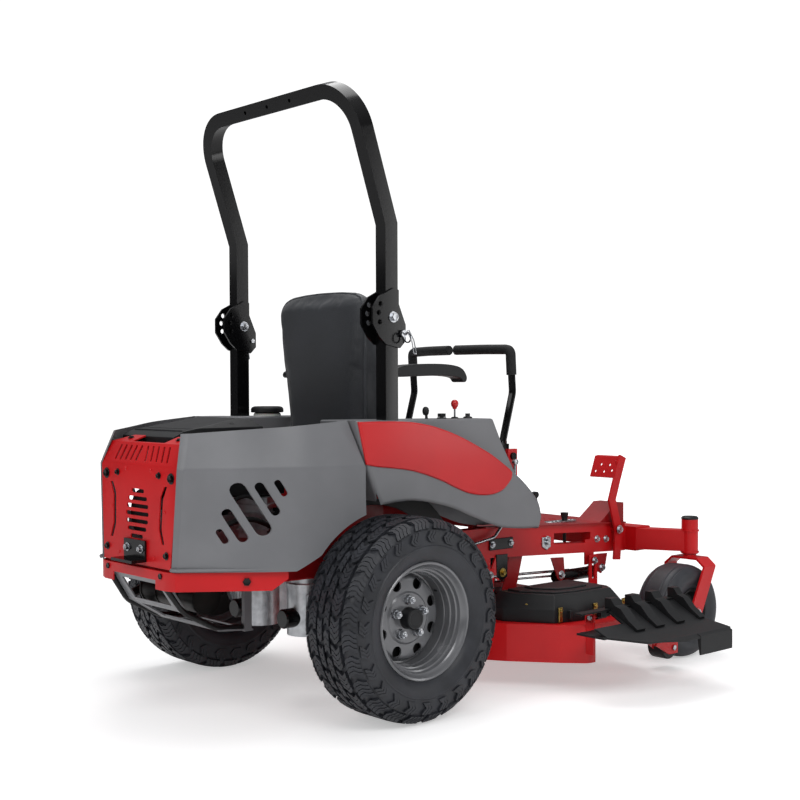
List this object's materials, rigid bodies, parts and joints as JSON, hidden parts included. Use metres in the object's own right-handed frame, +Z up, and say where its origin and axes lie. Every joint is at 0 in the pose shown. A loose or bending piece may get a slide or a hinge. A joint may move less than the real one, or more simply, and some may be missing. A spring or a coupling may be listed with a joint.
{
  "type": "zero turn mower",
  "caption": "Ride-on zero turn lawn mower with lap-bar levers, rear drive wheels, front swivel casters, side-discharge cutting deck and a fold-down roll-over hoop.",
  "frame": {"origin": "bottom centre of the whole machine's box, on the ground", "axes": "+X forward, the way the machine drives; +Y to the operator's left; +Z up"},
  "size_m": [2.12, 1.57, 1.883],
  "materials": {
    "red_paint": "gloss powder coat",
    "dark_red_paint": "gloss powder coat",
    "grey_body": "satin paint",
    "rim_grey": "gloss paint",
    "black_paint": "gloss powder coat",
    "black_plastic": "fine moulded grain",
    "chute_rubber": "satin moulded rubber",
    "zinc": "zinc plated",
    "cast_alloy": "as cast",
    "tyre_rubber": "matt rubber",
    "vinyl": "embossed vinyl",
    "red_knob": "gloss",
    "blade_steel": "painted steel"
  },
  "bodies": {
    "frame": {"frame_rail_left": "red_paint", "frame_rail_right": "red_paint", "front_axle": "red_paint", "floor_pan": "red_paint", "rear_guard": "red_paint", "rear_strip": "red_paint", "fender_trims": "red_paint", "engine_frame": "dark_red_paint", "side_panel_left": "grey_body", "side_panel_right": "grey_body", "fender_left": "grey_body", "fender_right": "grey_body", "under_guard": "grey_body", "rops_post_left": "black_paint", "rops_post_right": "black_paint", "hitch_bracket": "black_paint", "muffler": "black_paint", "engine_shroud": "black_plastic", "air_cleaner": "black_plastic", "fuel_tanks": "black_plastic", "frame_bolts": "zinc", "transaxle_left": "cast_alloy", "transaxle_right": "cast_alloy", "engine_block": "cast_alloy"},
    "wheel_left": {"rear_tyre_left": "tyre_rubber", "rear_rim_left": "rim_grey"},
    "wheel_right": {"rear_tyre_right": "tyre_rubber", "rear_rim_right": "rim_grey"},
    "caster_left": {"caster_fork_left": "red_paint"},
    "caster_right": {"caster_fork_right": "red_paint"},
    "caster_roll_left": {"caster_wheel_left": "tyre_rubber"},
    "caster_roll_right": {"caster_wheel_right": "tyre_rubber"},
    "hoop": {"rops_hoop": "black_paint"},
    "pin_left": {"lock_pin_left": "zinc"},
    "pin_right": {"lock_pin_right": "zinc"},
    "seat": {"seat_base": "black_paint", "seat_cushion": "vinyl", "seat_back": "vinyl"},
    "rest_left": {"armrest_left": "black_plastic"},
    "rest_right": {"armrest_right": "black_plastic"},
    "drive_left": {"lever_pivot_left": "black_paint"},
    "drive_right": {"lever_pivot_right": "black_paint"},
    "bar_left": {"lap_bar_left": "black_paint"},
    "bar_right": {"lap_bar_right": "black_paint"},
    "deck": {"deck_shell": "red_paint", "belt_covers": "black_plastic"},
    "blade_left": {"spindle_left": "blade_steel"},
    "blade_centre": {"spindle_centre": "blade_steel"},
    "blade_right": {"spindle_right": "blade_steel"},
    "chute": {"discharge_chute": "chute_rubber"},
    "rollers": {"deck_rollers": "black_plastic"},
    "pedal": {"lift_pedal": "red_paint"},
    "crank": {"crank_drive": "blade_steel"},
    "cap": {"fuel_cap": "black_plastic"},
    "throttle": {"throttle_lever": "black_plastic"},
    "choke": {"choke_knob": "red_knob"},
    "pto": {"pto_knob": "black_plastic"},
    "key": {"ignition_key": "black_plastic"},
    "brake": {"brake_handle": "black_paint"},
    "depth_pin": {"height_pin": "black_plastic"}
  },
  "joints": [
    {"name": "wheel_left_spin", "type": "hinge", "parent": "frame", "child": "wheel_left", "pos_m": [-0.415, 0.63, 0.298], "axis": [0, 1, 0], "continuous": true},
    {"name": "caster_left_swivel", "type": "hinge", "parent": "frame", "child": "caster_left", "pos_m": [0.971, 0.635, 0.42], "axis": [0, 0, 1], "continuous": true},
    {"name": "caster_left_spin", "type": "hinge", "parent": "caster_left", "child": "caster_roll_left", "pos_m": [0.895, 0.635, 0.165], "axis": [0, 1, 0], "continuous": true},
    {"name": "pin_left_pull", "type": "slide", "parent": "frame", "child": "pin_left", "axis": [0, 1, 0], "range_m": [0, 0.085]},
    {"name": "armrest_left_lift", "type": "hinge", "parent": "seat", "child": "rest_left", "pos_m": [-0.25, 0.392, 1.015], "axis": [0, -1, 0], "range_deg": [0, 80]},
    {"name": "lever_left_drive", "type": "hinge", "parent": "frame", "child": "drive_left", "pos_m": [0.257, 0.41, 0.735], "axis": [0, 1, 0], "range_deg": [-12, 12]},
    {"name": "lever_left_swing", "type": "hinge", "parent": "drive_left", "child": "bar_left", "pos_m": [0.257, 0.3815, 0.761], "axis": [-1, 0, 0], "range_deg": [0, 20]},
    {"name": "wheel_right_spin", "type": "hinge", "parent": "frame", "child": "wheel_right", "pos_m": [-0.415, -0.37, 0.298], "axis": [0, 1, 0], "continuous": true},
    {"name": "caster_right_swivel", "type": "hinge", "parent": "frame", "child": "caster_right", "pos_m": [0.971, -0.375, 0.42], "axis": [0, 0, 1], "continuous": true},
    {"name": "caster_right_spin", "type": "hinge", "parent": "caster_right", "child": "caster_roll_right", "pos_m": [0.895, -0.375, 0.165], "axis": [0, 1, 0], "continuous": true},
    {"name": "pin_right_pull", "type": "slide", "parent": "frame", "child": "pin_right", "axis": [0, -1, 0], "range_m": [0, 0.085]},
    {"name": "armrest_right_lift", "type": "hinge", "parent": "seat", "child": "rest_right", "pos_m": [-0.25, -0.132, 1.015], "axis": [0, -1, 0], "range_deg": [0, 80]},
    {"name": "lever_right_drive", "type": "hinge", "parent": "frame", "child": "drive_right", "pos_m": [0.257, -0.15, 0.735], "axis": [0, 1, 0], "range_deg": [-12, 12]},
    {"name": "lever_right_swing", "type": "hinge", "parent": "drive_right", "child": "bar_right", "pos_m": [0.257, -0.1215, 0.761], "axis": [1, 0, 0], "range_deg": [0, 20]},
    {"name": "hoop_fold", "type": "hinge", "parent": "frame", "child": "hoop", "pos_m": [-0.38, 0.13, 1.179], "axis": [0, -1, 0], "range_deg": [0, 95]},
    {"name": "seat_tilt", "type": "hinge", "parent": "frame", "child": "seat", "pos_m": [0.107, 0.13, 0.648], "axis": [0, 1, 0], "range_deg": [0, 25]},
    {"name": "deck_lift", "type": "slide", "parent": "frame", "child": "deck", "axis": [0, 0, 1], "range_m": [0, 0.055]},
    {"name": "pedal_press", "type": "hinge", "parent": "frame", "child": "pedal", "pos_m": [0.785, -0.192, 0.448], "axis": [0, 1, 0], "range_deg": [0, 20]},
    {"name": "blade_centre_spin", "type": "hinge", "parent": "deck", "child": "blade_centre", "pos_m": [0.455, 0.13, 0.211], "axis": [0, 0, 1], "continuous": true},
    {"name": "blade_left_spin", "type": "hinge", "parent": "deck", "child": "blade_left", "pos_m": [0.345, 0.56, 0.211], "axis": [0, 0, 1], "continuous": true},
    {"name": "blade_right_spin", "type": "hinge", "parent": "deck", "child": "blade_right", "pos_m": [0.345, -0.3, 0.211], "axis": [0, 0, 1], "continuous": true},
    {"name": "chute_lift", "type": "hinge", "parent": "deck", "child": "chute", "pos_m": [0.385, -0.542, 0.24], "axis": [-1, 0, 0], "range_deg": [0, 50]},
    {"name": "rollers_spin", "type": "hinge", "parent": "deck", "child": "rollers", "pos_m": [0.681, 0.13, 0.078], "axis": [0, 1, 0], "continuous": true},
    {"name": "crank_spin", "type": "hinge", "parent": "frame", "child": "crank", "pos_m": [-0.735, 0.13, 0.5], "axis": [0, 0, 1], "continuous": true},
    {"name": "fuel_cap_turn", "type": "hinge", "parent": "frame", "child": "cap", "pos_m": [-0.313, 0.452, 0.885], "axis": [0, 0, 1], "range_deg": [0, 120]},
    {"name": "throttle_move", "type": "hinge", "parent": "frame", "child": "throttle", "pos_m": [-0.163, -0.206, 0.846], "axis": [0, 1, 0], "range_deg": [-20, 20]},
    {"name": "choke_pull", "type": "slide", "parent": "frame", "child": "choke", "axis": [0, 0, 1], "range_m": [0, 0.02]},
    {"name": "pto_pull", "type": "slide", "parent": "frame", "child": "pto", "axis": [0, 0, 1], "range_m": [0, 0.012]},
    {"name": "key_turn", "type": "hinge", "parent": "frame", "child": "key", "pos_m": [0.015, -0.2, 0.86], "axis": [0, 0, 1], "range_deg": [0, 80]},
    {"name": "brake_pull", "type": "hinge", "parent": "frame", "child": "brake", "pos_m": [0.385, -0.159, 0.518], "axis": [0, -1, 0], "range_deg": [0, 30]},
    {"name": "height_pin_pull", "type": "slide", "parent": "frame", "child": "depth_pin", "axis": [0, 0, 1], "range_m": [0, 0.04]}
  ],
  "couplings": [
    {"joint": "pedal_press", "follows": "deck_lift", "rad_per_m": 6.3},
    {"joint": "blade_left_spin", "follows": "blade_centre_spin", "ratio": 1},
    {"joint": "blade_right_spin", "follows": "blade_centre_spin", "ratio": 1}
  ]
}
